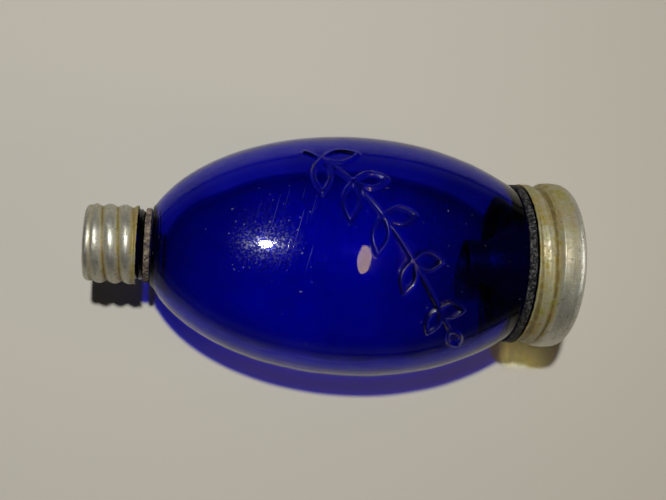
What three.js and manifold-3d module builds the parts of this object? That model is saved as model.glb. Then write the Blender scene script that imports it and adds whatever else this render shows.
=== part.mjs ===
// Pocket spittoon: a flattened, egg-shaped glass flask with a wide mouth at one end and a narrow drain
// at the other, each closed by a rolled aluminium screw cap. A funnel hung in the mouth stops spills.
// Millimetres, +Z up. The flask lies on one broad side, with its axis along X and its mouth towards +X.
// The origin is on the table, under the middle of the whole object.

import Module from "manifold-3d";
import * as THREE from "three";
import { mergeVertices } from "three/addons/utils/BufferGeometryUtils.js";

// Glass body, measured from its widest section
const BELLY_WIDTH = 62.4;
const BELLY_TO_MOUTH_SHOULDER = 39.2;
const BELLY_TO_DRAIN_SHOULDER = 52.1;
const GLASS_WALL = 3.2;
const SHOULDER_EDGE = 0.4;
const RIM_ROUNDING = 0.9;

// Sprig embossed on the upper broad side, in ridges that stand half out of the glass. Its stem bends from
// a foot to a tip, and each place is a distance along the flask from the widest section towards the mouth,
// and a distance round the glass from the middle of the broad side.
const SPRIG_FOOT_ALONG = -16;
const SPRIG_FOOT_ROUND = 23.5;
const SPRIG_BEND_ALONG = 3;
const SPRIG_BEND_ROUND = 10.5;
const SPRIG_TIP_ALONG = 21;
const SPRIG_TIP_ROUND = -18;
const SPRIG_LEAF_PAIRS = 5;
const SPRIG_LEAF_LEAN = 52;
const SPRIG_FIRST_LEAF_LENGTH = 10;
const SPRIG_FIRST_LEAF_WIDTH = 4.4;
const SPRIG_LAST_LEAF_LENGTH = 6;
const SPRIG_LAST_LEAF_WIDTH = 3.2;
const SPRIG_RIDGE_WIDTH = 1.4;

// Mouth neck: its radius at the thread's root, its length from the shoulder to the rim, the ledge round
// its foot, and its thread, which starts at the distance from the shoulder to a crest on the upper side
const MOUTH_NECK_RADIUS = 19.6;
const MOUTH_NECK_LENGTH = 12.45;
const MOUTH_NECK_WALL = 3.2;
const MOUTH_LEDGE = 0.9;
const MOUTH_THREAD_PITCH = 5;
const MOUTH_THREAD_HEIGHT = 0.7;
const MOUTH_THREAD_START = 6;
const MOUTH_CREST_SHARPNESS = 1.6;

// Drain neck, measured the same way
const DRAIN_NECK_RADIUS = 8.45;
const DRAIN_NECK_LENGTH = 14.35;
const DRAIN_NECK_WALL = 2.85;
const DRAIN_LEDGE = 1.85;
const DRAIN_THREAD_PITCH = 3.75;
const DRAIN_THREAD_HEIGHT = 0.75;
const DRAIN_THREAD_START = 2.7;
const DRAIN_CREST_SHARPNESS = 0.8;

// Seal rings round the necks' feet, and the bare glass between each ring and its cap's lip
const MOUTH_RING_WIDTH = 2;
const MOUTH_RING_THICKNESS = 1.1;
const MOUTH_LIP_GAP = 0.25;
const DRAIN_RING_WIDTH = 1.5;
const DRAIN_RING_THICKNESS = 0.95;
const DRAIN_LIP_GAP = 1.7;
const RING_ROUNDING = 0.35;

// Sheet metal caps: the crown is the unthreaded top past a last groove, whose depth counts from the
// thread's crests. The crown rises from it over a short length, and bulges past the crests or stays short.
const MOUTH_CAP_WALL = 0.55;
const MOUTH_CROWN_LENGTH = 7.6;
const MOUTH_LAST_GROOVE = 0.7;
const MOUTH_CROWN_RISE = 1.3;
const MOUTH_CROWN_BULGE = 0.8;
const MOUTH_CROWN_FILLET = 3;
const MOUTH_LINER_THICKNESS = 1.3;
const DRAIN_CAP_WALL = 0.5;
const DRAIN_CROWN_LENGTH = 1.6;
const DRAIN_LAST_GROOVE = 0.45;
const DRAIN_CROWN_RISE = 0.3;
const DRAIN_CROWN_BULGE = -0.45;
const DRAIN_CROWN_FILLET = 1.2;
const DRAIN_LINER_THICKNESS = 1.5;

// Funnel, moulded in hard rubber and hung by its flange on the mouth's rim
const FUNNEL_WALL = 0.8;
const FUNNEL_COLLAR_LENGTH = 4;
const FUNNEL_CONE_LENGTH = 15;
const FUNNEL_THROAT_LENGTH = 5;
const FUNNEL_THROAT_RADIUS = 4.8;

// Clearances
const SEAT_GAP = 0.25;
const THREAD_CLEARANCE = 0.35;
const FUNNEL_FIT = 0.3;

// Length over which a thread fades in or out
const THREAD_FADE = 0.8;

// The belly is as thick as the mouth cap's crown is wide, so that the flask lies level
const MOUTH_CREST_RADIUS = MOUTH_NECK_RADIUS + MOUTH_THREAD_HEIGHT + THREAD_CLEARANCE + MOUTH_CAP_WALL;
const BELLY_THICKNESS = 2 * (MOUTH_CREST_RADIUS + MOUTH_CROWN_BULGE);

// Fineness of the turned surfaces
const MOUTH_COLUMNS = 30;
const DRAIN_COLUMNS = 24;
const BELLY_STEPS = 8;
const EDGE_STEPS = 2;
const CROWN_STEPS = 4;
const CONE_STEPS = 4;
const STEM_STEPS = 14;
const LEAF_STEPS = 6;
const RIDGE_SIDES = 6;
const THREAD_ROWS_PER_PITCH = 6;

// The two ends of the flask. Each counts outwards from its own shoulder, and side is its direction on X.
const mouth = {
  side: 1,
  columns: MOUTH_COLUMNS,
  shoulder: BELLY_TO_MOUTH_SHOULDER,
  shoulderRadius: MOUTH_NECK_RADIUS + MOUTH_LEDGE,
  radius: MOUTH_NECK_RADIUS,
  length: MOUTH_NECK_LENGTH,
  bore: MOUTH_NECK_RADIUS - MOUTH_NECK_WALL,
  shoulderEdge: Math.min(SHOULDER_EDGE, MOUTH_LEDGE),
  rimRounding: Math.min(RIM_ROUNDING, MOUTH_NECK_WALL / 2),
  pitch: MOUTH_THREAD_PITCH,
  threadHeight: MOUTH_THREAD_HEIGHT,
  threadStart: MOUTH_THREAD_START,
  crestSharpness: MOUTH_CREST_SHARPNESS,
  ringWidth: MOUTH_RING_WIDTH,
  ringThickness: MOUTH_RING_THICKNESS,
  lipGap: MOUTH_LIP_GAP,
  wall: MOUTH_CAP_WALL,
  crownLength: MOUTH_CROWN_LENGTH,
  lastGroove: MOUTH_LAST_GROOVE,
  crownRise: MOUTH_CROWN_RISE,
  crownBulge: MOUTH_CROWN_BULGE,
  crownFillet: MOUTH_CROWN_FILLET,
  linerThickness: MOUTH_LINER_THICKNESS,
  underLiner: SEAT_GAP + FUNNEL_WALL + SEAT_GAP,
};
const drain = {
  side: -1,
  columns: DRAIN_COLUMNS,
  shoulder: BELLY_TO_DRAIN_SHOULDER,
  shoulderRadius: DRAIN_NECK_RADIUS + DRAIN_LEDGE,
  radius: DRAIN_NECK_RADIUS,
  length: DRAIN_NECK_LENGTH,
  bore: DRAIN_NECK_RADIUS - DRAIN_NECK_WALL,
  shoulderEdge: Math.min(SHOULDER_EDGE, DRAIN_LEDGE),
  rimRounding: Math.min(RIM_ROUNDING, DRAIN_NECK_WALL / 2),
  pitch: DRAIN_THREAD_PITCH,
  threadHeight: DRAIN_THREAD_HEIGHT,
  threadStart: DRAIN_THREAD_START,
  crestSharpness: DRAIN_CREST_SHARPNESS,
  ringWidth: DRAIN_RING_WIDTH,
  ringThickness: DRAIN_RING_THICKNESS,
  lipGap: DRAIN_LIP_GAP,
  wall: DRAIN_CAP_WALL,
  crownLength: DRAIN_CROWN_LENGTH,
  lastGroove: DRAIN_LAST_GROOVE,
  crownRise: DRAIN_CROWN_RISE,
  crownBulge: DRAIN_CROWN_BULGE,
  crownFillet: DRAIN_CROWN_FILLET,
  linerThickness: DRAIN_LINER_THICKNESS,
  underLiner: SEAT_GAP,
};

const cobaltGlass = new THREE.MeshStandardMaterial({ color: 0x0b1590, roughness: 0.06, metalness: 0 });
const aluminium = new THREE.MeshStandardMaterial({ color: 0xb4b2a8, roughness: 0.42, metalness: 1 });
const blackRubber = new THREE.MeshStandardMaterial({ color: 0x1c1b1a, roughness: 0.85, metalness: 0 });
const perishedRubber = new THREE.MeshStandardMaterial({ color: 0x6e5f4c, roughness: 0.95, metalness: 0 });
const hardRubber = new THREE.MeshStandardMaterial({ color: 0x141312, roughness: 0.5, metalness: 0 });
const linerRubber = new THREE.MeshStandardMaterial({ color: 0x7d3b2c, roughness: 0.8, metalness: 0 });

const { lerp, smoothstep, degToRad } = THREE.MathUtils;
const wasm = await Module();
wasm.setup();

// Evenly spaced shares from 0 to 1
function shares(count) {
  return Array.from({ length: count + 1 }, (_, i) => i / count);
}

// Quarter-round corner about a centre, between two directions in degrees, where 0 points outwards
// along the neck and 90 points away from its axis
function arc(out, radius, size, from, to, steps = EDGE_STEPS) {
  return shares(steps).map((share) => {
    const direction = degToRad(lerp(from, to, share));
    return { out: out + size * Math.cos(direction), radius: radius + size * Math.sin(direction) };
  });
}

// Turns an outline of stations round the flask's axis. A station gives a distance outwards, a radius,
// and where needed a half height that differs from the radius, or a relief that changes round the axis.
function turned(name, end, outline, material) {
  const stations = end.side > 0 ? outline : outline.toReversed();
  const profile = stations.map(({ out, radius }) => new THREE.Vector2(radius, out));
  const step = (2 * Math.PI) / end.columns;
  const geometry = new THREE.LatheGeometry(profile, end.columns, step / 2);
  const position = geometry.getAttribute("position");
  for (let i = 0; i < position.count; i++) {
    const { out, radius, halfHeight = radius, relief } = stations[i % stations.length];
    const angle = step * (Math.floor(i / stations.length) + 0.5);
    const raise = relief ? relief(out, angle) : 0;
    const along = end.side * (end.shoulder + out);
    position.setXYZ(i, along, -(radius + raise) * Math.sin(angle), (halfHeight + raise) * Math.cos(angle));
  }
  const mesh = new THREE.Mesh(geometry, material);
  mesh.name = name;
  return mesh;
}

// Right-hand thread wave, 0 in the root and 1 on the crest, at an angle from the top of the flask
function threadWave(end, out, angle) {
  const turns = (end.side * (out - end.threadStart)) / end.pitch - angle / (2 * Math.PI);
  return (0.5 + 0.5 * Math.cos(2 * Math.PI * turns)) ** end.crestSharpness;
}

// Shares of a thread that fades in after one place, or out before another
function fadeIn(out, from) {
  return smoothstep(out, from, from + THREAD_FADE);
}

function fadeOut(out, to) {
  return 1 - smoothstep(out, to - THREAD_FADE, to);
}

// Stations along a thread, close enough together to show its wave
function threadRows(end, from, to, radius, relief) {
  const count = Math.ceil(((to - from) / end.pitch) * THREAD_ROWS_PER_PITCH);
  return shares(count).map((share) => ({ out: lerp(from, to, share), radius, relief }));
}

// Places that the pieces of one end share, outwards from its shoulder
function ringSeat(end) {
  return { out: end.shoulderEdge + SEAT_GAP, radius: end.radius + SEAT_GAP };
}

function lipPlace(end) {
  return ringSeat(end).out + end.ringWidth + end.lipGap;
}

function linerFace(end) {
  return end.length + end.underLiner;
}

function capCeiling(end) {
  return linerFace(end) + end.linerThickness + SEAT_GAP;
}

function crownFoot(end) {
  return capCeiling(end) + end.wall - end.crownLength;
}

function crownInside(end) {
  return end.radius + THREAD_CLEARANCE + end.threadHeight + end.crownBulge;
}

// Station at a share of the way from the belly's widest section to the shoulder, on an ellipse arc
function bellyStation(end, shoulderRadius, inset, share) {
  const half = (belly) => belly * Math.sqrt(1 - (1 - (shoulderRadius / belly) ** 2) * share ** 2);
  return {
    out: end.shoulder * (share - 1),
    radius: half(BELLY_WIDTH / 2 - inset),
    halfHeight: half(BELLY_THICKNESS / 2 - inset),
  };
}

function bellyStations(end, shoulderRadius, inset) {
  return shares(BELLY_STEPS).map((step) =>
    bellyStation(end, shoulderRadius, inset, Math.sin((step * Math.PI) / 2)),
  );
}

// Point on the glass at a place of the sprig's plan
function onGlass({ x: along, y: round }) {
  const end = along > 0 ? mouth : drain;
  const share = Math.abs(along) / end.shoulder;
  const { radius, halfHeight } = bellyStation(end, end.shoulderRadius, 0, share);
  const angle = (2 * round) / (radius + halfHeight);
  return new THREE.Vector3(along, radius * Math.sin(angle), halfHeight * Math.cos(angle));
}

// Round ridge that follows a line of the sprig's plan, half sunk in the glass
function ridge(line, steps) {
  const section = new THREE.Shape(
    shares(RIDGE_SIDES).slice(1).map((share) => {
      const angle = 2 * Math.PI * share;
      return new THREE.Vector2(Math.cos(angle), Math.sin(angle)).multiplyScalar(SPRIG_RIDGE_WIDTH / 2);
    }),
  );
  const extrudePath = new THREE.CatmullRomCurve3(line.map(onGlass));
  return new THREE.ExtrudeGeometry(section, { steps, extrudePath });
}

// Two sides of an almond leaf that grows from the stem in a direction
function leaf(foot, direction, length, width) {
  return [1, -1].map((side) => {
    const line = shares(LEAF_STEPS).map((share) => {
      const across = (side * width * Math.sin(Math.PI * share)) / 2;
      return new THREE.Vector2(share * length, across).rotateAround(new THREE.Vector2(), direction).add(foot);
    });
    return ridge(line, LEAF_STEPS);
  });
}

// Stem with a pair of leaves at each knot and one leaf at its tip, smaller towards the tip
function sprig() {
  const stem = new THREE.QuadraticBezierCurve(
    new THREE.Vector2(SPRIG_FOOT_ALONG, SPRIG_FOOT_ROUND),
    new THREE.Vector2(SPRIG_BEND_ALONG, SPRIG_BEND_ROUND),
    new THREE.Vector2(SPRIG_TIP_ALONG, SPRIG_TIP_ROUND),
  );
  const leafAt = (share, lean) => {
    const length = lerp(SPRIG_FIRST_LEAF_LENGTH, SPRIG_LAST_LEAF_LENGTH, share);
    const width = lerp(SPRIG_FIRST_LEAF_WIDTH, SPRIG_LAST_LEAF_WIDTH, share);
    return leaf(stem.getPoint(share), stem.getTangent(share).angle() + degToRad(lean), length, width);
  };
  const knots = shares(SPRIG_LEAF_PAIRS).slice(0, -1).map((share) => share + 0.5 / SPRIG_LEAF_PAIRS);
  const leans = [SPRIG_LEAF_LEAN, -SPRIG_LEAF_LEAN];
  const pairs = knots.flatMap((share) => leans.flatMap((lean) => leafAt(share, lean)));
  return [ridge(stem.getPoints(STEM_STEPS), STEM_STEPS), ...pairs, ...leafAt(1, 0)];
}

// One solid from several that overlap
function joined(geometries) {
  const solids = geometries.map((geometry) => {
    geometry.deleteAttribute("normal");
    geometry.deleteAttribute("uv");
    const { attributes, index } = mergeVertices(geometry);
    const vertProperties = attributes.position.array;
    const triVerts = Uint32Array.from(index.array);
    return new wasm.Manifold(new wasm.Mesh({ numProp: 3, vertProperties, triVerts }));
  });
  const { vertProperties, triVerts } = solids.reduce((whole, solid) => whole.add(solid)).getMesh();
  const geometry = new THREE.BufferGeometry();
  geometry.setAttribute("position", new THREE.BufferAttribute(vertProperties, 3));
  geometry.setIndex(new THREE.BufferAttribute(triVerts, 1));
  geometry.computeVertexNormals();
  return geometry;
}

// Glass from the widest section outside, round one neck, and back to the widest section inside
function glassEnd(end) {
  const threadFoot = ringSeat(end).out + end.ringWidth;
  const edge = end.shoulderEdge;
  const rounding = end.rimRounding;
  const rim = end.length - rounding;
  const threadTop = Math.min(rim, crownFoot(end) - THREAD_FADE);
  const relief = (out, angle) => {
    const share = fadeIn(out, threadFoot) * fadeOut(out, threadTop);
    return end.threadHeight * threadWave(end, out, angle) * share;
  };
  return [
    ...bellyStations(end, end.shoulderRadius, 0),
    ...arc(0, end.shoulderRadius - edge, edge, 90, 0).slice(1),
    { out: edge, radius: end.radius },
    ...threadRows(end, threadFoot, threadTop, end.radius, relief),
    ...arc(rim, end.radius - rounding, rounding, 90, 0),
    ...arc(rim, end.bore + rounding, rounding, 0, -90),
    ...bellyStations(end, end.bore, GLASS_WALL).toReversed(),
  ];
}

// Both ends in one closed outline, with the drain's stations counted from the mouth's shoulder, and the sprig
function glassFlask() {
  const fromMouth = (station) => ({
    ...station,
    out: -drain.shoulder - station.out - mouth.shoulder,
    relief: station.relief && ((_, angle) => station.relief(station.out, angle)),
  });
  const drainEnd = glassEnd(drain).map(fromMouth).toReversed();
  const flask = turned("glass_flask", mouth, [...glassEnd(mouth), ...drainEnd.slice(1)], cobaltGlass);
  flask.geometry = joined([flask.geometry, ...sprig()]);
  return flask;
}

// Rubber ring with rounded edges, seated on the shoulder round the neck's foot
function sealRing(name, end, material) {
  const seat = ringSeat(end);
  const rounding = Math.min(RING_ROUNDING, end.ringWidth / 2, end.ringThickness);
  const near = seat.out + rounding;
  const far = seat.out + end.ringWidth - rounding;
  const inner = seat.radius;
  const outer = seat.radius + end.ringThickness - rounding;
  const outline = [
    { out: near - rounding, radius: inner },
    ...arc(near, outer, rounding, 180, 90),
    ...arc(far, outer, rounding, 90, 0),
    { out: far + rounding, radius: inner },
    { out: near - rounding, radius: inner },
  ];
  return turned(name, end, outline, material);
}

// Sheet metal cap whose rolled thread follows the neck's thread at a clearance
function screwCap(name, end) {
  const lip = lipPlace(end);
  const ceiling = capCeiling(end);
  const crown = crownInside(end);
  const foot = crownFoot(end);
  const crownStart = foot + end.crownRise;
  const inside = end.radius + THREAD_CLEARANCE;
  const fillet = end.crownFillet;
  const innerFillet = fillet - end.wall;
  const relief = (out, angle) => {
    const wave = lerp(1, threadWave(end, out, angle), fadeIn(out, lip));
    return lerp(end.threadHeight - end.lastGroove, end.threadHeight * wave, fadeOut(out, foot));
  };
  const outline = [
    { out: ceiling, radius: 0 },
    ...arc(ceiling - innerFillet, crown - innerFillet, innerFillet, 0, 90),
    { out: crownStart, radius: crown },
    ...threadRows(end, lip, foot, inside, relief).toReversed(),
    ...threadRows(end, lip, foot, inside + end.wall, relief),
    { out: crownStart, radius: crown + end.wall },
    ...arc(ceiling + end.wall - fillet, crown + end.wall - fillet, fillet, 90, 0, CROWN_STEPS),
    { out: ceiling + end.wall, radius: 0 },
  ];
  return turned(name, end, outline, aluminium);
}

// Rubber disc that lies against the cap's flat ceiling, within its fillet
function capLiner(name, end) {
  const face = linerFace(end);
  const back = face + end.linerThickness;
  const radius = crownInside(end) - (end.crownFillet - end.wall) - SEAT_GAP;
  const outline = [
    { out: face, radius: 0 },
    { out: face, radius },
    { out: back, radius },
    { out: back, radius: 0 },
  ];
  return turned(name, end, outline, linerRubber);
}

// Funnel with its flange over the mouth's rim, its collar inside the bore and its throat in the flask
function spillFunnel() {
  const flangeUnder = mouth.length + SEAT_GAP;
  const flangeTop = flangeUnder + FUNNEL_WALL;
  const collar = mouth.bore - FUNNEL_FIT;
  const collarFoot = flangeTop - FUNNEL_COLLAR_LENGTH;
  const throat = FUNNEL_THROAT_RADIUS + FUNNEL_WALL;
  const coneFoot = collarFoot - FUNNEL_CONE_LENGTH;
  const throatEnd = coneFoot - FUNNEL_THROAT_LENGTH;
  const cone = shares(CONE_STEPS).map((share) => ({
    out: lerp(coneFoot, collarFoot, share),
    radius: lerp(throat, collar, smoothstep(share, 0, 1)),
  }));
  const wallInside = ({ out, radius }) => ({ out, radius: radius - FUNNEL_WALL });
  const outline = [
    { out: throatEnd, radius: throat },
    ...cone,
    { out: flangeUnder, radius: collar },
    { out: flangeUnder, radius: mouth.radius },
    { out: flangeTop, radius: mouth.radius },
    { out: flangeTop, radius: collar - FUNNEL_WALL },
    ...cone.map(wallInside).toReversed(),
    { out: throatEnd, radius: throat - FUNNEL_WALL },
    { out: throatEnd, radius: throat },
  ];
  return turned("spill_funnel", mouth, outline, hardRubber);
}

const spittoon = new THREE.Group();
spittoon.add(
  glassFlask(),
  spillFunnel(),
  sealRing("mouth_seal_ring", mouth, blackRubber),
  screwCap("mouth_cap", mouth),
  capLiner("mouth_cap_liner", mouth),
  sealRing("drain_seal_ring", drain, perishedRubber),
  screwCap("drain_cap", drain),
  capLiner("drain_cap_liner", drain),
);

// Stand the object on the table, with the origin under its middle
const bounds = new THREE.Box3().setFromObject(spittoon);
spittoon.position.set(-(bounds.min.x + bounds.max.x) / 2, 0, -bounds.min.z);

export default spittoon;
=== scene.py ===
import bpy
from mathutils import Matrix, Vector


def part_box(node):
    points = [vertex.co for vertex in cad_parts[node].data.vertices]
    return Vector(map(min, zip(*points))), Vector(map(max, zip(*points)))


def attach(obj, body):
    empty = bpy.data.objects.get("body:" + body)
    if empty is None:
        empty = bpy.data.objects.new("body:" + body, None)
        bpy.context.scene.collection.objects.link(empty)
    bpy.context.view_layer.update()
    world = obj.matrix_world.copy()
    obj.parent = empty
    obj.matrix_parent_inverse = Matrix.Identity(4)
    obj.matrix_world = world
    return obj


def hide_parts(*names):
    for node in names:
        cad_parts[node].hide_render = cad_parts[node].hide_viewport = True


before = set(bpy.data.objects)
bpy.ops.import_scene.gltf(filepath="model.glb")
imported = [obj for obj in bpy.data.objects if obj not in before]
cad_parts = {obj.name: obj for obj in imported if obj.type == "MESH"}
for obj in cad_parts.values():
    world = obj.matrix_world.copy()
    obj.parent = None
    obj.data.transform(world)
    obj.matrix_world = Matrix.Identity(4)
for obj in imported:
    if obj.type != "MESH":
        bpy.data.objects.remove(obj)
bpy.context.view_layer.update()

from types import SimpleNamespace

import bpy
import numpy as np
from mathutils import Matrix, Vector

# Pocket spittoon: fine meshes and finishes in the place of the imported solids, in metres
MM = 0.001

# Places from the frame
GLASS_LOW, GLASS_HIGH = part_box("glass_flask")
CAP_LOW, CAP_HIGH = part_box("mouth_cap")
AXIS_Z = (CAP_LOW.z + CAP_HIGH.z) / 2
FUNNEL_LOW, FUNNEL_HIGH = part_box("spill_funnel")

# Glass body
GLASS_WALL = 3.2 * MM
BELLY_TO_MOUTH_SHOULDER = 39.2 * MM
SHOULDER_EDGE = 0.4 * MM
RING_SEAT = SHOULDER_EDGE + 0.25 * MM
RIM_ROUNDING = 0.9 * MM
SEAM_HEIGHT = 0.1 * MM
SEAM_WIDTH = 0.35 * MM
OUTER_WAVINESS = 0.04 * MM
INNER_WAVINESS = 0.16 * MM
SHOULDER_FADE = 3 * MM

# Embossed sprig, with places along the flask from its widest section and round it from its top
SPRIG_FOOT = (-16 * MM, 23.5 * MM)
SPRIG_BEND = (3 * MM, 10.5 * MM)
SPRIG_TIP = (21 * MM, -18 * MM)
SPRIG_STEM = np.array([SPRIG_FOOT, SPRIG_BEND, SPRIG_TIP])
SPRIG_FIRST_LEAF_LENGTH = 10 * MM
SPRIG_FIRST_LEAF_WIDTH = 4.4 * MM
SPRIG_LAST_LEAF_LENGTH = 6 * MM
SPRIG_LAST_LEAF_WIDTH = 3.2 * MM
SPRIG_LEAF_PAIRS = 5
SPRIG_LEAF_LEAN = np.radians(52)
SPRIG_HEIGHT = 0.68 * MM
SPRIG_FLAT = 0.2 * MM
SPRIG_STROKE = 0.8 * MM

# Threads and caps
THREAD_CLEARANCE = 0.35 * MM
THREAD_FADE = 0.8 * MM
CAP_DENT = 0.05 * MM
LIP_WEAR = 0.12 * MM
CROWN_DISH = 0.15 * MM
FILLET_POLISH = 0.8

# Rubber rings and liners
RING_FIT = 0.2 * MM
RING_ROUNDING = 0.4 * MM
LINER_ROUNDING = 0.3 * MM
LINER_DENT = 0.15 * MM
LINER_DENT_WIDTH = 1.1 * MM

# Wear on the glass: where it is scuffed and scratched, and how its scratches run
SCUFF_PLACE = (-19 * MM, 1 * MM, 42 * MM)
SCRATCH_PLACE = (-11 * MM, 4 * MM, 43 * MM)
SCRATCH_SIZE = (0.16 * MM, 16 * MM, 16 * MM)
SCRATCH_TURN = np.radians(-14)

# Where the glass begins to darken and is darkest, along X: painted shade towards the mouth, where the
# inside lies over floor in the shadow of the cap and neck, and plain darkening towards the drain
MOUTH_PAINTED_SHADE = (16 * MM, 36 * MM)
DRAIN_DARKENING = (-20 * MM, -50 * MM)

# Funnel
FUNNEL_WALL = 0.8 * MM
FUNNEL_COLLAR_LENGTH = 4 * MM
FUNNEL_CONE_LENGTH = 15 * MM
FUNNEL_THROAT_RADIUS = 4.8 * MM
FUNNEL_FIT = 0.3 * MM

# Floor
FLOOR_SIZE = 8.0

# The photograph's camera, fitted to the object's outline
CAMERA_PLACE = Vector((-36.69, -25.59, 273.91)) * MM
CAMERA_RIGHT = Vector((0.98804, 0.03454, 0.15031))
CAMERA_UP = Vector((-0.04969, 0.99393, 0.09824))
FOCAL_PIXELS = 985.95
IMAGE_WIDTH = 666
SENSOR_WIDTH = 36.0

# Colours
CLEAR_TINT = (1, 1, 1, 1)
DARK_TINT = (0.25, 0.25, 0.3, 1)
REFLECTION_TINT = (0.4, 0.4, 0.4, 1)
CHALK = (0.5, 0.56, 0.78, 1)
LAMP_RAY_TINT = (0.98, 0.98, 0.97, 1)
COBALT = (0.05, 0.07, 0.905, 1)
COBALT_DENSITY = 800.0
DULL_METAL = (0.4, 0.39, 0.32, 1)
BRIGHT_METAL = (0.64, 0.635, 0.57, 1)
METAL_PIT = (0.1, 0.085, 0.04, 1)
OLIVE_STAIN = (0.23, 0.205, 0.035, 1)
OCHRE_STAIN = (0.26, 0.165, 0.008, 1)
GRIME = (0.12, 0.08, 0.015, 1)
RUBBER_CRACK = (0.02, 0.015, 0.01, 1)
FLOOR_PAINT = (0.5, 0.476, 0.41, 1)
SKY = (1, 0.98, 0.94, 1)

# Numbers of the colour sockets on a Mix node
MIX_SHARE = 0
MIX_FIRST = 6
MIX_SECOND = 7
MIX_RESULT = 2

# Columns and rows of the meshes
GLASS_COLUMNS = 300
CAP_COLUMNS = 240
POLE_RADIUS = 0.3 * MM
INNER_BELLY_ROWS = 26
NECK_STEP = 0.5 * MM
ORNAMENT_STEP = 0.3 * MM
BELLY_STEP = 1.0 * MM
SKIRT_STEP = 0.2 * MM
RISE_STEP = 0.1 * MM
CROWN_STEP = 0.3 * MM
RING_STEP = 0.15 * MM
FUNNEL_STEP = 0.5 * MM


def flask_end(name, side, **sizes):
    """One end of the flask. Its places count outwards from the glass shoulder, and side is its way on X."""
    ring = sorted(side * corner.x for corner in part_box(f"{name}_seal_ring"))
    cap = sorted(side * corner.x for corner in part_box(f"{name}_cap"))
    liner = sorted(side * corner.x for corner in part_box(f"{name}_cap_liner"))
    rim = max(side * GLASS_LOW.x, side * GLASS_HIGH.x)
    shoulder = ring[0] - RING_SEAT
    end = SimpleNamespace(name=name, side=side, shoulder=shoulder, rim=rim - shoulder, **sizes)
    end.ring = [place - shoulder for place in ring]
    end.lip, end.top = [place - shoulder for place in cap]
    end.liner = [place - shoulder for place in liner]
    end.ring_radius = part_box(f"{name}_seal_ring")[1].y
    end.liner_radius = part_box(f"{name}_cap_liner")[1].y
    end.cap_inside = end.neck_radius + THREAD_CLEARANCE
    end.crown_inside = end.cap_inside + end.thread_height + end.bulge
    end.foot = end.top - end.crown_length
    end.bore = end.neck_radius - end.neck_wall
    return end


MOUTH = flask_end(
    "mouth", 1, neck_radius=19.6 * MM, neck_wall=3.2 * MM, shoulder_radius=20.5 * MM,
    pitch=5 * MM, thread_height=0.7 * MM, thread_start=6 * MM, sharpness=1.6,
    cap_wall=0.55 * MM, crown_length=7.6 * MM, last_groove=0.7 * MM, crown_rise=1.3 * MM,
    bulge=0.54 * MM, barrel=0.13 * MM, fillet=3 * MM,
)
DRAIN = flask_end(
    "drain", -1, neck_radius=8.45 * MM, neck_wall=2.85 * MM, shoulder_radius=10.3 * MM,
    pitch=3.75 * MM, thread_height=0.75 * MM, thread_start=2.7 * MM, sharpness=0.55,
    cap_wall=0.5 * MM, crown_length=1.6 * MM, last_groove=0.45 * MM, crown_rise=0.3 * MM,
    bulge=-0.45 * MM, barrel=0.03 * MM, fillet=1.2 * MM,
)
BELLY_X = MOUTH.shoulder - BELLY_TO_MOUTH_SHOULDER
HALF_WIDTH = GLASS_HIGH.y - SEAM_HEIGHT
HALF_HEIGHT = AXIS_Z


# Number helpers

def smooth(value, low, high):
    share = np.clip((value - low) / (high - low), 0, 1)
    return share * share * (3 - 2 * share)


def spaced(count, low, high, density):
    """count + 1 places from low to high, closer together where density is higher"""
    fine = np.linspace(low, high, 6000)
    total = np.cumsum(density(fine))
    return np.interp(np.linspace(total[0], total[-1], count + 1), total, fine)


def ripple(along, angle, seed, lengths, turns):
    """Gentle unevenness from -1 to 1, from a few seeded waves along and round the axis"""
    rng = np.random.default_rng(seed)
    waves = 7
    total = 0
    for _ in range(waves):
        way = rng.choice([-1, 1]) * 2 * np.pi / rng.uniform(*lengths)
        total = total + np.cos(rng.integers(*turns) * angle + way * along + rng.uniform(0, 2 * np.pi))
    return total / waves


# Turned surfaces

def stations(out, wide, high=None, thread=0.0):
    """Rows of distance outwards, half a width, half a height and how much of the thread is there"""
    high = wide if high is None else high
    columns = np.broadcast_arrays(np.atleast_1d(out), wide, high, thread)
    return np.stack(columns, axis=-1).astype(float)


def arc(out, radius, size, start, stop, steps=6):
    """Round corner about a centre, where 0 degrees points outwards along the axis and 90 away from it"""
    way = np.radians(np.linspace(start, stop, steps + 1))
    return stations(out + size * np.cos(way), radius + size * np.sin(way))


def run(low, high, step):
    return np.linspace(low, high, max(2, round(abs(high - low) / step) + 1))


def thread_wave(end, out, angle):
    """Right-hand thread, 0 in its root and 1 on its crest"""
    turns = end.side * (out - end.thread_start) / end.pitch - angle / (2 * np.pi)
    return (0.5 + 0.5 * np.cos(2 * np.pi * turns)) ** end.sharpness


def turn(end, rows, angles):
    """Grid of points, rows by columns, that the stations sweep round the flask's axis along X"""
    out, wide, high, thread = [column[:, None] for column in rows.T]
    angle = angles[None, :]
    raised = thread * end.thread_height * thread_wave(end, out, angle)
    along = end.side * (end.shoulder + out) + 0 * angle
    across = -(wide + raised) * np.sin(angle)
    return np.stack([along, across, AXIS_Z + (high + raised) * np.cos(angle)], axis=-1)


def even_angles(columns):
    """Angles round the axis, counted from the top and right-handed about +X"""
    return np.linspace(-np.pi, np.pi, columns, endpoint=False)


def outward(points, distance):
    """Moves a grid's points away from the flask's axis"""
    radial = points - [0, 0, AXIS_Z]
    radial[..., 0] = 0
    length = np.linalg.norm(radial, axis=-1, keepdims=True)
    return points + radial / np.maximum(length, 1e-9) * distance[..., None]


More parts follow.
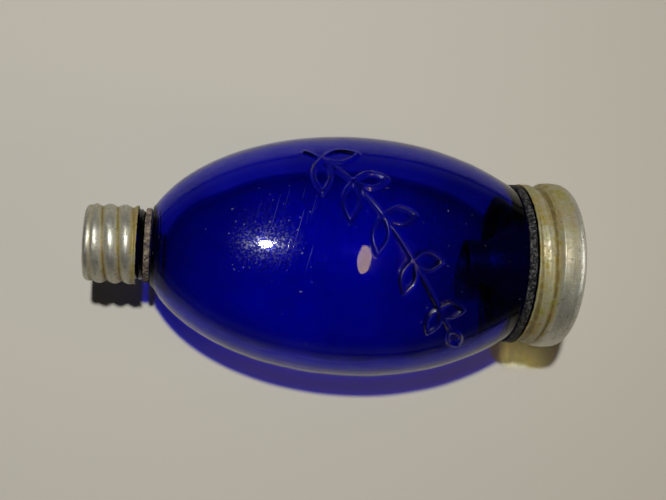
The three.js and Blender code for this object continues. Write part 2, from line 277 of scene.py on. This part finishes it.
def grid_object(name, points, poles=False, **attributes):
    """Closed mesh of a grid that closes round the axis, and ends at two poles or closes on itself"""
    rows, columns = points.shape[:2]
    index = np.arange(rows * columns).reshape(rows, columns)
    if poles:
        near, far = index[:-1], index[1:]
    else:
        near, far = index, np.roll(index, -1, axis=0)
    quads = np.stack([near, np.roll(near, -1, axis=1), np.roll(far, -1, axis=1), far], axis=-1)
    faces = quads.reshape(-1, 4).tolist()
    places = points.reshape(-1, 3)
    if poles:
        first, last = rows * columns, rows * columns + 1
        places = np.vstack([places, points[0].mean(axis=0), points[-1].mean(axis=0)])
        around = zip(index[0], np.roll(index[0], -1))
        faces += [[first, int(b), int(a)] for a, b in around]
        around = zip(index[-1], np.roll(index[-1], -1))
        faces += [[last, int(a), int(b)] for a, b in around]
    mesh = bpy.data.meshes.new(name)
    mesh.from_pydata(places, [], faces)
    for key, values in attributes.items():
        values = np.broadcast_to(values, points.shape[:2]).ravel()
        values = np.concatenate([values, np.zeros(len(places) - len(values))])
        mesh.attributes.new(key, "FLOAT", "POINT").data.foreach_set("value", values.astype(np.float32))
    mesh.shade_smooth()
    mesh.update()
    piece = bpy.data.objects.new(name, mesh)
    bpy.context.scene.collection.objects.link(piece)
    turn_faces_out(mesh)
    return piece


def turn_faces_out(mesh):
    """Flips all faces if the mesh's signed volume is negative"""
    mesh.calc_loop_triangles()
    corners = np.array([triangle.vertices for triangle in mesh.loop_triangles])
    places = np.empty(len(mesh.vertices) * 3)
    mesh.vertices.foreach_get("co", places)
    a, b, c = places.reshape(-1, 3)[corners].transpose(1, 0, 2)
    if np.einsum("ij,ij->i", a, np.cross(b, c)).sum() < 0:
        mesh.flip_normals()


def dress(piece, node, body, material):
    """Gives a piece its material, and puts it in the place of a solid"""
    piece.data.materials.append(material)
    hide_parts(node)
    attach(piece, body)


# Embossed sprig, drawn as strokes on a plan of the glass: along the flask, and round it

def stem_point(share):
    a, b, c = SPRIG_STEM
    share = np.asarray(share)[..., None]
    return a * (1 - share) ** 2 + 2 * b * share * (1 - share) + c * share**2


def leaf_strokes(share, lean):
    """Two sides of an almond leaf that grows from a place on the stem"""
    a, b, c = SPRIG_STEM
    ahead = (b - a) * (1 - share) + (c - b) * share
    direction = np.arctan2(ahead[1], ahead[0]) + lean
    way = np.array([np.cos(direction), np.sin(direction)])
    length = SPRIG_FIRST_LEAF_LENGTH + (SPRIG_LAST_LEAF_LENGTH - SPRIG_FIRST_LEAF_LENGTH) * share
    width = SPRIG_FIRST_LEAF_WIDTH + (SPRIG_LAST_LEAF_WIDTH - SPRIG_FIRST_LEAF_WIDTH) * share
    along = np.linspace(0, 1, 17)[:, None]
    middle = stem_point(share) + along * length * way
    across = width / 2 * np.sin(np.pi * along) * np.array([-way[1], way[0]])
    return [middle + across, middle - across]


def sprig_strokes():
    strokes = [stem_point(np.linspace(0, 1, 41)), *leaf_strokes(1, 0)]
    for i in range(SPRIG_LEAF_PAIRS):
        for lean in (SPRIG_LEAF_LEAN, -SPRIG_LEAF_LEAN):
            strokes += leaf_strokes((i + 0.5) / SPRIG_LEAF_PAIRS, lean)
    return strokes


def distance_to_strokes(places, strokes):
    nearest = np.full(len(places), np.inf)
    for stroke in strokes:
        for start, stop in zip(stroke[:-1], stroke[1:]):
            way = stop - start
            share = np.clip((places - start) @ way / (way @ way), 0, 1)
            gap = places - start - share[:, None] * way
            nearest = np.minimum(nearest, np.einsum("ij,ij->i", gap, gap))
    return np.sqrt(nearest)


def sprig_relief(plan):
    """Height of the sprig at each place of a grid on the plan"""
    places = plan.reshape(-1, 2)
    strokes = sprig_strokes()
    corners = np.vstack(strokes)
    low, high = corners.min(axis=0) - SPRIG_STROKE, corners.max(axis=0) + SPRIG_STROKE
    near = ((places > low) & (places < high)).all(axis=1)
    height = np.zeros(len(places))
    gap = distance_to_strokes(places[near], strokes)
    height[near] = SPRIG_HEIGHT * (1 - smooth(gap, SPRIG_FLAT, SPRIG_STROKE))
    return height.reshape(plan.shape[:2])


# Pieces

def belly(end, shoulder_radius, inset, share):
    """Ellipse arcs at shares of the way from the belly's widest section to the shoulder"""
    length = end.shoulder - end.side * BELLY_X

    def half(size):
        return size * np.sqrt(1 - (1 - (shoulder_radius / size) ** 2) * share**2)

    return stations(length * (share - 1), half(HALF_WIDTH - inset), half(HALF_HEIGHT - inset))


def outer_shares(end):
    """Shares of the way to the shoulder, closer together where the sprig is"""
    length = end.shoulder - end.side * BELLY_X
    sprig_end = max(end.side * np.vstack(sprig_strokes())[:, 0]) + SPRIG_STROKE
    fine = run(0, sprig_end, ORNAMENT_STEP)
    coarse = run(sprig_end, length, BELLY_STEP)[1:]
    return np.concatenate([fine, coarse]) / length


def glass_rows(end):
    """Stations from the belly's widest section outside, and from the shoulder round the neck to inside"""
    thread_foot = end.ring[1]
    rim = end.rim - RIM_ROUNDING
    thread_top = min(rim, end.foot - THREAD_FADE)
    neck = run(SHOULDER_EDGE, rim, NECK_STEP)
    fade = smooth(neck, thread_foot, thread_foot + THREAD_FADE)
    fade = fade * (1 - smooth(neck, thread_top - THREAD_FADE, thread_top))
    inner_shares = np.sin(np.linspace(0, np.pi / 2, INNER_BELLY_ROWS))
    outer = belly(end, end.shoulder_radius, 0, outer_shares(end))
    rest = np.vstack([
        arc(0, end.shoulder_radius - SHOULDER_EDGE, SHOULDER_EDGE, 90, 0, 4)[1:],
        stations(neck, end.neck_radius, thread=fade),
        arc(rim, end.neck_radius - RIM_ROUNDING, RIM_ROUNDING, 90, 0, 5)[1:],
        arc(rim, end.bore + RIM_ROUNDING, RIM_ROUNDING, 0, -90, 5),
        belly(end, end.bore, GLASS_WALL, inner_shares)[::-1],
    ])
    return outer, rest


def glass_angles():
    """Columns closer together on the upper side and along the mould seam at both flanks"""
    def density(angle):
        flank = np.abs(np.abs(angle) - np.pi / 2)
        upper = 4 * (1 - smooth(np.abs(angle), np.radians(66), np.radians(74)))
        return 1 + upper + 20 * np.exp(-((flank / 0.012) ** 2))

    return spaced(GLASS_COLUMNS, -np.pi, np.pi, density)[:-1]


def make_glass(material):
    angles = glass_angles()
    mouth_outer, mouth_rest = glass_rows(MOUTH)
    drain_outer, drain_rest = glass_rows(DRAIN)
    mouth_rows = np.vstack([mouth_outer, mouth_rest])
    drain_rows = np.vstack([drain_rest[-2::-1], drain_outer[:0:-1]])
    points = np.vstack([turn(MOUTH, mouth_rows, angles), turn(DRAIN, drain_rows, angles)])
    reach = np.vstack([mouth_rows, drain_rows])[:, 1:3].mean(axis=1)
    plan = np.stack([points[..., 0] - BELLY_X, -reach[:, None] * angles], axis=-1)
    row = np.arange(len(points))
    outer = (row < len(mouth_outer)) | (row > len(points) - len(drain_outer))
    along = points[..., 0]
    seam = SEAM_HEIGHT * np.clip(1 - np.abs(points[..., 2] - AXIS_Z) / SEAM_WIDTH, 0, 1)
    mouth_fade = smooth(MOUTH.shoulder - along, 0, SHOULDER_FADE)
    fade = mouth_fade * smooth(along + DRAIN.shoulder, 0, SHOULDER_FADE)
    waves = ripple(along, angles[None, :], seed=3, lengths=(9 * MM, 30 * MM), turns=(1, 7))
    inner_waves = ripple(along, angles[None, :], seed=8, lengths=(8 * MM, 26 * MM), turns=(1, 8))
    wavy = OUTER_WAVINESS * (waves - 1) * fade
    inner = INNER_WAVINESS * inner_waves * fade
    relief = np.where(outer[:, None], sprig_relief(plan), 0)
    lift = np.where(outer[:, None], relief + seam * fade + wavy, inner)
    piece = grid_object("glass_body", outward(points, lift), ridge=relief / SPRIG_HEIGHT)
    dress(piece, "glass_flask", "flask", material)
    return piece


def cap_rows(end):
    """Stations inside the cap from its ceiling to its lip, and then outside from its lip to its top"""
    wall, half = end.cap_wall, end.cap_wall / 2
    skirt = run(end.lip + half, end.foot, SKIRT_STEP)
    begin = smooth(skirt, end.lip + half, end.lip + half + THREAD_FADE)
    finish = 1 - smooth(skirt, end.foot - THREAD_FADE, end.foot)
    last = end.thread_height - end.last_groove
    plain = end.thread_height * (1 - begin) * finish + last * (1 - finish)
    rise = run(end.foot, end.foot + end.crown_rise, RISE_STEP)[1:]
    swell = smooth(rise, end.foot, end.foot + end.crown_rise)
    lift = last + (end.crown_inside - end.cap_inside - last) * swell
    ceiling = end.top - wall
    fillet, inner_fillet = end.fillet, end.fillet - wall
    side_end = end.top - fillet
    side = run(end.foot + end.crown_rise, side_end, CROWN_STEP)[1:]
    barrel = end.barrel * np.sin(np.pi * np.linspace(0, 1, len(side)))
    crown = end.crown_inside
    face = np.linspace(1, 0.06, 12)
    inner_face = (crown - inner_fillet) * face
    outer_face = (crown + wall - fillet) * face
    inside = np.vstack([
        stations(skirt, end.cap_inside + plain, thread=begin * finish),
        stations(rise, end.cap_inside + lift),
        stations(side, crown + barrel),
        arc(ceiling - inner_fillet, crown - inner_fillet, inner_fillet, 90, 0)[1:],
        stations(ceiling, inner_face)[1:],
    ])[::-1]
    lip = arc(end.lip + half, end.cap_inside + end.thread_height + half, half, 270, 90)[1:-1]
    dish = CROWN_DISH * smooth(1 - face, 0, 1)
    outside = np.vstack([
        stations(skirt, end.cap_inside + wall + plain, thread=begin * finish),
        stations(rise, end.cap_inside + wall + lift),
        stations(side, crown + wall + barrel),
        arc(side_end, crown + wall - fillet, fillet, 90, 0, 12)[1:],
        stations(end.top - dish, outer_face)[1:],
    ])
    return inside, lip, outside


def make_cap(end, material, lip_stain, skirt_stain, crown_stain_and_painted_light):
    """Cap with an oxide stain that is strongest in its grooves and at its lip, and on its crown towards +Y
    a stain that is partly oxide and partly painted warm light
    """
    inside, lip, outside = cap_rows(end)
    angles = even_angles(CAP_COLUMNS)
    rows = np.vstack([inside, lip, outside])
    points = turn(end, rows, angles)
    out = rows[:, 0:1]
    dents = ripple(points[..., 0], angles[None, :], seed=5, lengths=(6 * MM, 20 * MM), turns=(1, 6))
    points = outward(points, CAP_DENT * (dents - 1))
    ragged = ripple(0, angles[None, :], seed=6, lengths=(1, 2), turns=(3, 60)) + 1
    points[..., 0] += end.side * LIP_WEAR * ragged * (1 - smooth(out, end.lip, end.lip + THREAD_FADE))
    radius = np.hypot(points[..., 1], points[..., 2] - AXIS_Z)
    crest = end.cap_inside + end.cap_wall + end.thread_height
    groove = np.clip((crest - radius) / end.thread_height, 0, 1) * (out < end.foot + end.crown_rise)
    crown = smooth(out, end.foot, end.foot + end.crown_rise)
    lip_zone = 1 - smooth(out, end.lip + THREAD_FADE, end.lip + 3 * THREAD_FADE)
    fillet_zone = smooth(out, end.top - 1.2 * end.fillet, end.top - end.fillet / 2)
    # Painted light: the crown's stain grows towards +Y, partly real oxide and partly the colour of warm
    # light falling there, and is less on the fillet
    side_stain_and_painted_light = (1 - np.sin(angles[None, :])) * (1 - FILLET_POLISH * fillet_zone)
    patina = groove**2 + lip_stain * lip_zone + skirt_stain * (1 - crown) + crown_stain_and_painted_light * crown * side_stain_and_painted_light
    patina = np.clip(patina, 0, 1)
    grime = smooth(groove, 0.86, 1.0)
    for stain in (patina, grime):
        stain[: len(inside)] = 0
    piece = grid_object(f"{end.name}_cap_shell", points, poles=True, patina=patina, grime=grime)
    dress(piece, f"{end.name}_cap", f"{end.name}_cap", material)
    return piece


def make_ring(end, material, knobs, lengths, turns):
    """Rubber ring round the neck's foot, with lumps and hollows worn into it"""
    near, far = end.ring
    inner = end.neck_radius + RING_FIT
    rounding = RING_ROUNDING
    outer = end.ring_radius - rounding
    rows = np.vstack([
        arc(near + rounding, outer, rounding, 180, 90, 5),
        stations(run(near + rounding, far - rounding, RING_STEP)[1:-1], end.ring_radius),
        arc(far - rounding, outer, rounding, 90, 0, 5),
        stations(np.linspace(far, near, 8), inner),
    ])
    angles = even_angles(CAP_COLUMNS)
    points = turn(end, rows, angles)
    lumps = ripple(points[..., 0], angles[None, :], seed=21, lengths=lengths, turns=turns) - 0.6
    lumps = np.where(rows[:, 1:2] > inner + rounding, lumps, 0)
    points = outward(points, knobs * lumps)
    piece = grid_object(f"{end.name}_rubber_ring", points)
    dress(piece, f"{end.name}_seal_ring", "flask", material)


def make_liner(end, material):
    """Rubber disc with the dent that the rim has pressed into it"""
    face, back = end.liner
    radius = end.liner_radius
    rounding = LINER_ROUNDING
    across = np.linspace(POLE_RADIUS, radius - rounding, 48)
    middle = (end.neck_radius + end.bore) / 2
    dent = LINER_DENT * np.exp(-(((across - middle) / LINER_DENT_WIDTH) ** 2))
    rows = np.vstack([
        stations(face + dent, across),
        arc(face + rounding, radius - rounding, rounding, 180, 90, 4),
        arc(back - rounding, radius - rounding, rounding, 90, 0, 4),
        stations(back, np.linspace(radius - rounding, POLE_RADIUS, 12)[1:]),
    ])
    piece = grid_object(f"{end.name}_liner_disc", turn(end, rows, even_angles(CAP_COLUMNS)), poles=True)
    dress(piece, f"{end.name}_cap_liner", f"{end.name}_liner", material)


def make_funnel(material):
    top = FUNNEL_HIGH.x - MOUTH.shoulder
    throat_end = FUNNEL_LOW.x - MOUTH.shoulder
    collar = MOUTH.bore - FUNNEL_FIT
    throat = FUNNEL_THROAT_RADIUS + FUNNEL_WALL
    collar_foot = top - FUNNEL_COLLAR_LENGTH
    cone_foot = collar_foot - FUNNEL_CONE_LENGTH
    cone = run(cone_foot, collar_foot, FUNNEL_STEP)
    shape = throat + (collar - throat) * smooth(cone, cone_foot, collar_foot)
    under = top - FUNNEL_WALL
    half = FUNNEL_WALL / 2
    rows = np.vstack([
        stations(run(throat_end + half, cone_foot, FUNNEL_STEP), throat),
        stations(cone[1:], shape[1:]),
        stations(run(collar_foot, under - half, FUNNEL_STEP)[1:], collar),
        arc(under - half, collar + half, half, 180, 90, 3)[1:-1],
        stations(under, np.linspace(collar + half, FUNNEL_HIGH.y - half, 5)),
        arc(top - half, FUNNEL_HIGH.y - half, half, 180, 0, 6)[1:-1],
        stations(top, np.linspace(FUNNEL_HIGH.y - half, collar, 5)),
        stations(run(top - half, collar_foot, FUNNEL_STEP), collar - FUNNEL_WALL),
        stations(cone[::-1], shape[::-1] - FUNNEL_WALL)[1:],
        stations(run(cone_foot, throat_end + half, FUNNEL_STEP)[1:], throat - FUNNEL_WALL),
        arc(throat_end + half, throat - half, half, 270, 90, 6)[1:-1],
    ])
    points = turn(MOUTH, rows, even_angles(CAP_COLUMNS))
    piece = grid_object("funnel_shell", points)
    dress(piece, "spill_funnel", "flask", material)


# Materials

def add(tree, kind, inputs=None, **settings):
    """New shader node. An input is a value, or a socket to link from."""
    node = tree.nodes.new("ShaderNode" + kind)
    for key, value in settings.items():
        setattr(node, key, value)
    for key, value in (inputs or {}).items():
        if isinstance(value, bpy.types.NodeSocket):
            tree.links.new(value, node.inputs[key])
        else:
            node.inputs[key].default_value = value
    return node


def new_material(name):
    material = bpy.data.materials.new(name)
    material.use_nodes = True
    tree = material.node_tree
    tree.nodes.clear()
    return material, tree, add(tree, "OutputMaterial")


def noise(tree, scale, detail=4.0, roughness=0.6):
    place = add(tree, "TexCoord").outputs["Object"]
    inputs = {"Vector": place, "Scale": scale, "Detail": detail, "Roughness": roughness}
    return add(tree, "TexNoise", inputs).outputs["Fac"]


def between(tree, value, low, high, start=0.0, stop=1.0):
    """Maps a value from one range to another, held within the second"""
    inputs = {"Value": value, "From Min": low, "From Max": high, "To Min": start, "To Max": stop}
    return add(tree, "MapRange", inputs).outputs["Result"]


def times(tree, a, b):
    return add(tree, "Math", {0: a, 1: b}, operation="MULTIPLY").outputs[0]


def plus(tree, a, b):
    return add(tree, "Math", {0: a, 1: b}, operation="ADD").outputs[0]


def blend(tree, share, first, second):
    """Colour that goes from the first to the second with share"""
    inputs = {MIX_SHARE: share, MIX_FIRST: first, MIX_SECOND: second}
    return add(tree, "Mix", inputs, data_type="RGBA").outputs[MIX_RESULT]


def attribute(tree, name):
    return add(tree, "Attribute", attribute_name=name).outputs["Fac"]


def bump(tree, height, distance, strength=1.0):
    inputs = {"Height": height, "Distance": distance, "Strength": strength}
    return add(tree, "Bump", inputs).outputs["Normal"]


def streaks(tree, size, turned, low, high):
    """Lines that are far longer than they are wide, by noise stretched to a size and turned about Z"""
    place = add(tree, "TexCoord").outputs["Object"]
    inputs = {"Vector": place, "Rotation": (0, 0, turned), "Scale": size}
    stretched = add(tree, "Mapping", inputs, vector_type="TEXTURE").outputs["Vector"]
    lines = add(tree, "TexNoise", {"Vector": stretched, "Scale": 1.0, "Detail": 2.0})
    return between(tree, lines.outputs["Fac"], low, high)


def axis_place(tree):
    """Place along the flask's axis"""
    return add(tree, "SeparateXYZ", {0: add(tree, "TexCoord").outputs["Object"]}).outputs["X"]


def closeness(tree, place, inside, outside):
    """1 within one distance of a place and 0 beyond another"""
    here = add(tree, "TexCoord").outputs["Object"]
    gap = add(tree, "VectorMath", {0: here, 1: place}, operation="DISTANCE").outputs["Value"]
    return between(tree, gap, inside, outside, 1.0, 0.0)


def cobalt_glass():
    """Deep blue glass with painted shade towards the mouth end and darker towards the drain end, scuffed
    and scratched on its upper side
    """
    material, tree, output = new_material("cobalt_glass")
    smears = between(tree, noise(tree, 70, 3), 0.45, 0.75, 0.015, 0.05)
    grains = noise(tree, 1300, 1)
    specks = between(tree, grains, 0.775, 0.8, 0.0, 0.7)
    scratched = closeness(tree, SCRATCH_PLACE, 3 * MM, 12 * MM)
    scratches = times(tree, streaks(tree, SCRATCH_SIZE, SCRATCH_TURN, 0.66, 0.72), scratched)
    rubbed = closeness(tree, SCUFF_PLACE, 1 * MM, 10 * MM)
    scuffs = times(tree, between(tree, noise(tree, 1900, 3, 0.7), 0.52, 0.62, 0.05, 1.0), rubbed)
    chipped = closeness(tree, SCUFF_PLACE, 2 * MM, 12 * MM)
    chips = times(tree, between(tree, grains, 0.71, 0.74), chipped)
    worn = plus(tree, scratches, scuffs)
    scored = plus(tree, times(tree, scratches, 0.4), times(tree, scuffs, 0.04))
    chalky = plus(tree, plus(tree, specks, chips), scored)
    # Painted shade: the glass darkens towards the mouth end, where its inside lies over floor in the shadow
    # of the cap and neck; towards the drain end it only darkens
    mouth_painted_shade = between(tree, axis_place(tree), *MOUTH_PAINTED_SHADE)
    drain_dark = between(tree, axis_place(tree), *DRAIN_DARKENING)
    cloudy = between(tree, noise(tree, 34, 3), 0.35, 0.65, 0.0, 0.4)
    ends_dark_and_painted_shade = plus(tree, times(tree, mouth_painted_shade, 0.4), times(tree, drain_dark, 0.3))
    tint = blend(tree, plus(tree, ends_dark_and_painted_shade, cloudy), CLEAR_TINT, DARK_TINT)
    uneven = plus(tree, noise(tree, 220, 5), times(tree, scratches, -0.5))
    glass = add(tree, "BsdfPrincipled", {
        "Base Color": blend(tree, chalky, tint, CHALK),
        "Roughness": plus(tree, smears, times(tree, worn, 0.1)),
        "IOR": 1.5,
        "Specular Tint": REFLECTION_TINT,
        "Transmission Weight": between(tree, chalky, 0.0, 1.0, 1.0, 0.3),
        "Coat Weight": plus(tree, worn, times(tree, attribute(tree, "ridge"), 0.8)),
        "Coat Roughness": 0.24,
        "Normal": bump(tree, uneven, 0.02 * MM, 0.25),
    })
    clear = add(tree, "BsdfTransparent", {"Color": LAMP_RAY_TINT})
    lamp_ray = add(tree, "LightPath").outputs["Is Shadow Ray"]
    mix = add(tree, "MixShader", {0: lamp_ray, 1: glass.outputs[0], 2: clear.outputs[0]})
    depth = add(tree, "VolumeAbsorption", {"Color": COBALT, "Density": COBALT_DENSITY})
    tree.links.new(mix.outputs[0], output.inputs["Surface"])
    tree.links.new(depth.outputs[0], output.inputs["Volume"])
    return material


def aluminium():
    """Oxidised sheet metal, mottled and pitted, with stains, partly painted warm light, and grime by its
    mesh attributes
    """
    material, tree, output = new_material("cap_metal")
    cloudy = between(tree, noise(tree, 420, 6, 0.7), 0.3, 0.7)
    brushed = streaks(tree, (0.14 * MM, 5 * MM, 5 * MM), 0, 0.35, 0.65)
    mottle = plus(tree, times(tree, cloudy, 0.5), times(tree, brushed, 0.5))
    pits = between(tree, noise(tree, 1300, 5, 0.8), 0.54, 0.64)
    metal = blend(tree, mottle, DULL_METAL, BRIGHT_METAL)
    metal = blend(tree, times(tree, pits, 0.75), metal, METAL_PIT)
    patches = between(tree, noise(tree, 340, 6, 0.75), 0.3, 0.6, 0.4, 1.0)
    # The stain share is oxide, and on the crowns towards +Y partly painted warm light
    share = times(tree, attribute(tree, "patina"), patches)
    ochre = between(tree, noise(tree, 130, 3), 0.35, 0.65)
    stain = blend(tree, ochre, OLIVE_STAIN, OCHRE_STAIN)
    uneven = between(tree, noise(tree, 500, 5, 0.7), 0.3, 0.55, 0.2, 0.85)
    dirty = times(tree, attribute(tree, "grime"), uneven)
    height = plus(tree, times(tree, mottle, 0.4), times(tree, pits, -1.0))
    shader = add(tree, "BsdfPrincipled", {
        "Base Color": blend(tree, dirty, blend(tree, share, metal, stain), GRIME),
        "Metallic": between(tree, share, 0.0, 0.9, 0.95, 0.2),
        "Roughness": between(tree, plus(tree, mottle, share), 0.0, 1.6, 0.32, 0.55),
        "Normal": bump(tree, height, 0.05 * MM, 0.6),
    })
    tree.links.new(shader.outputs[0], output.inputs["Surface"])
    return material


def rubber(name, dark, dusty, scale, dust_from, crack=0.0, shine=0.62, gloss=0.5):
    """Aged rubber with dust or bloom in patches, and cracks where it has perished"""
    material, tree, output = new_material(name)
    dust = between(tree, noise(tree, scale, 6, 0.7), dust_from, dust_from + 0.25)
    place = add(tree, "TexCoord").outputs["Object"]
    cells = add(tree, "TexVoronoi", {"Vector": place, "Scale": scale * 1.4}, feature="DISTANCE_TO_EDGE")
    cracks = between(tree, cells.outputs["Distance"], 0.0, 0.12, crack, 0.0)
    colour = blend(tree, cracks, blend(tree, dust, dark, dusty), RUBBER_CRACK)
    grain = plus(tree, noise(tree, scale * 5, 4), times(tree, cracks, -1.5))
    shader = add(tree, "BsdfPrincipled", {
        "Base Color": colour,
        "Roughness": between(tree, dust, 0.0, 1.0, shine, 0.95),
        "Specular IOR Level": gloss,
        "Normal": bump(tree, grain, 0.12 * MM, 0.7),
    })
    tree.links.new(shader.outputs[0], output.inputs["Surface"])
    return material


def floor_paint():
    material, tree, output = new_material("floor_paint")
    shader = add(tree, "BsdfPrincipled", {
        "Base Color": FLOOR_PAINT,
        "Roughness": 0.9,
        "Specular IOR Level": 0.1,
    })
    tree.links.new(shader.outputs[0], output.inputs["Surface"])
    return material


# Stage, lamps and camera

def make_floor():
    mesh = bpy.data.meshes.new("floor")
    half = FLOOR_SIZE / 2
    corners = [(-half, -half, 0), (half, -half, 0), (half, half, 0), (-half, half, 0)]
    mesh.from_pydata(corners, [], [(0, 1, 2, 3)])
    floor = bpy.data.objects.new("floor", mesh)
    mesh.materials.append(floor_paint())
    bpy.context.scene.collection.objects.link(floor)
    return floor


def make_world():
    """Dark overhead and pale towards the horizon"""
    world = bpy.data.worlds.new("room")
    bpy.context.scene.world = world
    world.use_nodes = True
    tree = world.node_tree
    tree.nodes.clear()
    up = add(tree, "SeparateXYZ", {0: add(tree, "TexCoord").outputs["Generated"]}).outputs["Z"]
    level = between(tree, up, low=0.05, high=0.25, start=0.15, stop=0.02)
    sky = add(tree, "Background", {"Color": SKY, "Strength": level})
    output = add(tree, "OutputWorld")
    tree.links.new(sky.outputs[0], output.inputs["Surface"])


def lamp(name, target, way, distance, size, length, power, colour=(1, 1, 1), spread=np.pi):
    """Oval lamp that shines on a target from a direction, with its length in the plane of Y and the way"""
    data = bpy.data.lights.new(name, "AREA")
    data.spread = spread
    data.shape = "ELLIPSE"
    data.size = size
    data.size_y = length
    data.energy = power
    data.color = colour
    back = Vector(way).normalized()
    right = Vector((0, 1, 0)).cross(back).normalized()
    turned = Matrix((right, back.cross(right), back)).transposed()
    piece = bpy.data.objects.new(name, data)
    piece.matrix_world = Matrix.Translation(Vector(target) + back * distance) @ turned.to_4x4()
    bpy.context.scene.collection.objects.link(piece)
    return piece


def light_only(piece, targets, state="INCLUDE"):
    """Lets a lamp light some pieces alone, or all but those"""
    chosen = bpy.data.collections.new(piece.name + "_light")
    for target in targets:
        chosen.objects.link(target)
    for link in chosen.collection_objects:
        link.light_linking.link_state = state
    piece.light_linking.receiver_collection = chosen


def make_lamps(glass, caps, floor):
    """Key lamp for all but the glass, and lamps for the caps, for the floor and for the glass alone"""
    middle = (0, 0, AXIS_Z)
    mouth_end = (MOUTH.shoulder, 0, AXIS_Z)
    cap_shadow = (MOUTH.shoulder + 0.0135, -0.0235, 0)
    left_of_belly = (-0.019, 0, 0.041)
    right_of_belly = (0.007, 0, 0.0431)
    key = lamp("key", middle, (-0.13, 0.19, 0.96), distance=0.5, size=0.025, length=0.025, power=2.4)
    side = lamp("side", mouth_end, (0.93, 0.05, 0.36), distance=0.6, size=0.15, length=0.6, power=1.3)
    glow = lamp(
        "warm_glow", mouth_end, (0.85, -0.2, 0.45), distance=0.7, size=0.25, length=0.25, power=0.6,
        colour=(1, 0.7, 0.25),
    )
    beam = lamp(
        "warm_beam", cap_shadow, (0, -0.6, 0.8), distance=0.2, size=0.014, length=0.004, power=0.0005,
        colour=(1, 0.7, 0.15), spread=0.03,
    )
    glint = lamp(
        "glint", left_of_belly, (-0.261, 0.095, 0.961), distance=0.5, size=0.03, length=0.05, power=0.8,
    )
    strip = lamp(
        "strip", right_of_belly, (0.158, -0.05, 0.978), distance=0.5, size=0.038, length=0.18, power=0.3,
        colour=(1, 0.68, 0.14),
    )
    light_only(key, [glass], "EXCLUDE")
    light_only(side, caps)
    light_only(glow, [floor])
    light_only(beam, [floor])
    light_only(glint, [glass])
    light_only(strip, [glass])


def make_camera():
    data = bpy.data.cameras.new("camera")
    data.sensor_width = SENSOR_WIDTH
    data.sensor_fit = "HORIZONTAL"
    data.lens = FOCAL_PIXELS * SENSOR_WIDTH / IMAGE_WIDTH
    data.clip_start = 1 * MM
    camera = bpy.data.objects.new("camera", data)
    back = CAMERA_RIGHT.cross(CAMERA_UP)
    turned = Matrix((CAMERA_RIGHT, CAMERA_UP, back)).transposed()
    camera.matrix_world = Matrix.Translation(CAMERA_PLACE) @ turned.to_4x4()
    bpy.context.scene.collection.objects.link(camera)
    bpy.context.scene.camera = camera


cap_metal = aluminium()
hard_rubber = rubber(
    "hard_rubber", dark=(0.012, 0.011, 0.01, 1), dusty=(0.03, 0.028, 0.026, 1), scale=150, dust_from=0.5,
    shine=0.45,
)
black_rubber = rubber(
    "black_rubber", dark=(0.004, 0.004, 0.005, 1), dusty=(0.2, 0.19, 0.18, 1), scale=1500, dust_from=0.48,
    gloss=0.12,
)
perished_rubber = rubber(
    "perished_rubber", dark=(0.05, 0.036, 0.03, 1), dusty=(0.36, 0.28, 0.19, 1), scale=700, dust_from=0.4,
    crack=0.5,
)
liner_rubber = rubber(
    "liner_rubber", dark=(0.36, 0.13, 0.08, 1), dusty=(0.45, 0.26, 0.2, 1), scale=160, dust_from=0.5,
)

glass = make_glass(cobalt_glass())
make_funnel(hard_rubber)
mouth_cap = make_cap(MOUTH, cap_metal, lip_stain=0.3, skirt_stain=0.8, crown_stain_and_painted_light=0.55)
drain_cap = make_cap(DRAIN, cap_metal, lip_stain=0.8, skirt_stain=0.15, crown_stain_and_painted_light=0.25)
make_ring(
    MOUTH, black_rubber, knobs=0.1 * MM, lengths=(1.5 * MM, 6 * MM), turns=(8, 40),
)
make_ring(
    DRAIN, perished_rubber, knobs=0.5 * MM, lengths=(0.8 * MM, 3 * MM), turns=(12, 60),
)
make_liner(MOUTH, liner_rubber)
make_liner(DRAIN, liner_rubber)
floor = make_floor()
make_world()
make_lamps(glass, [mouth_cap, drain_cap], floor)
make_camera()
bpy.context.scene.view_settings.view_transform = "Standard"
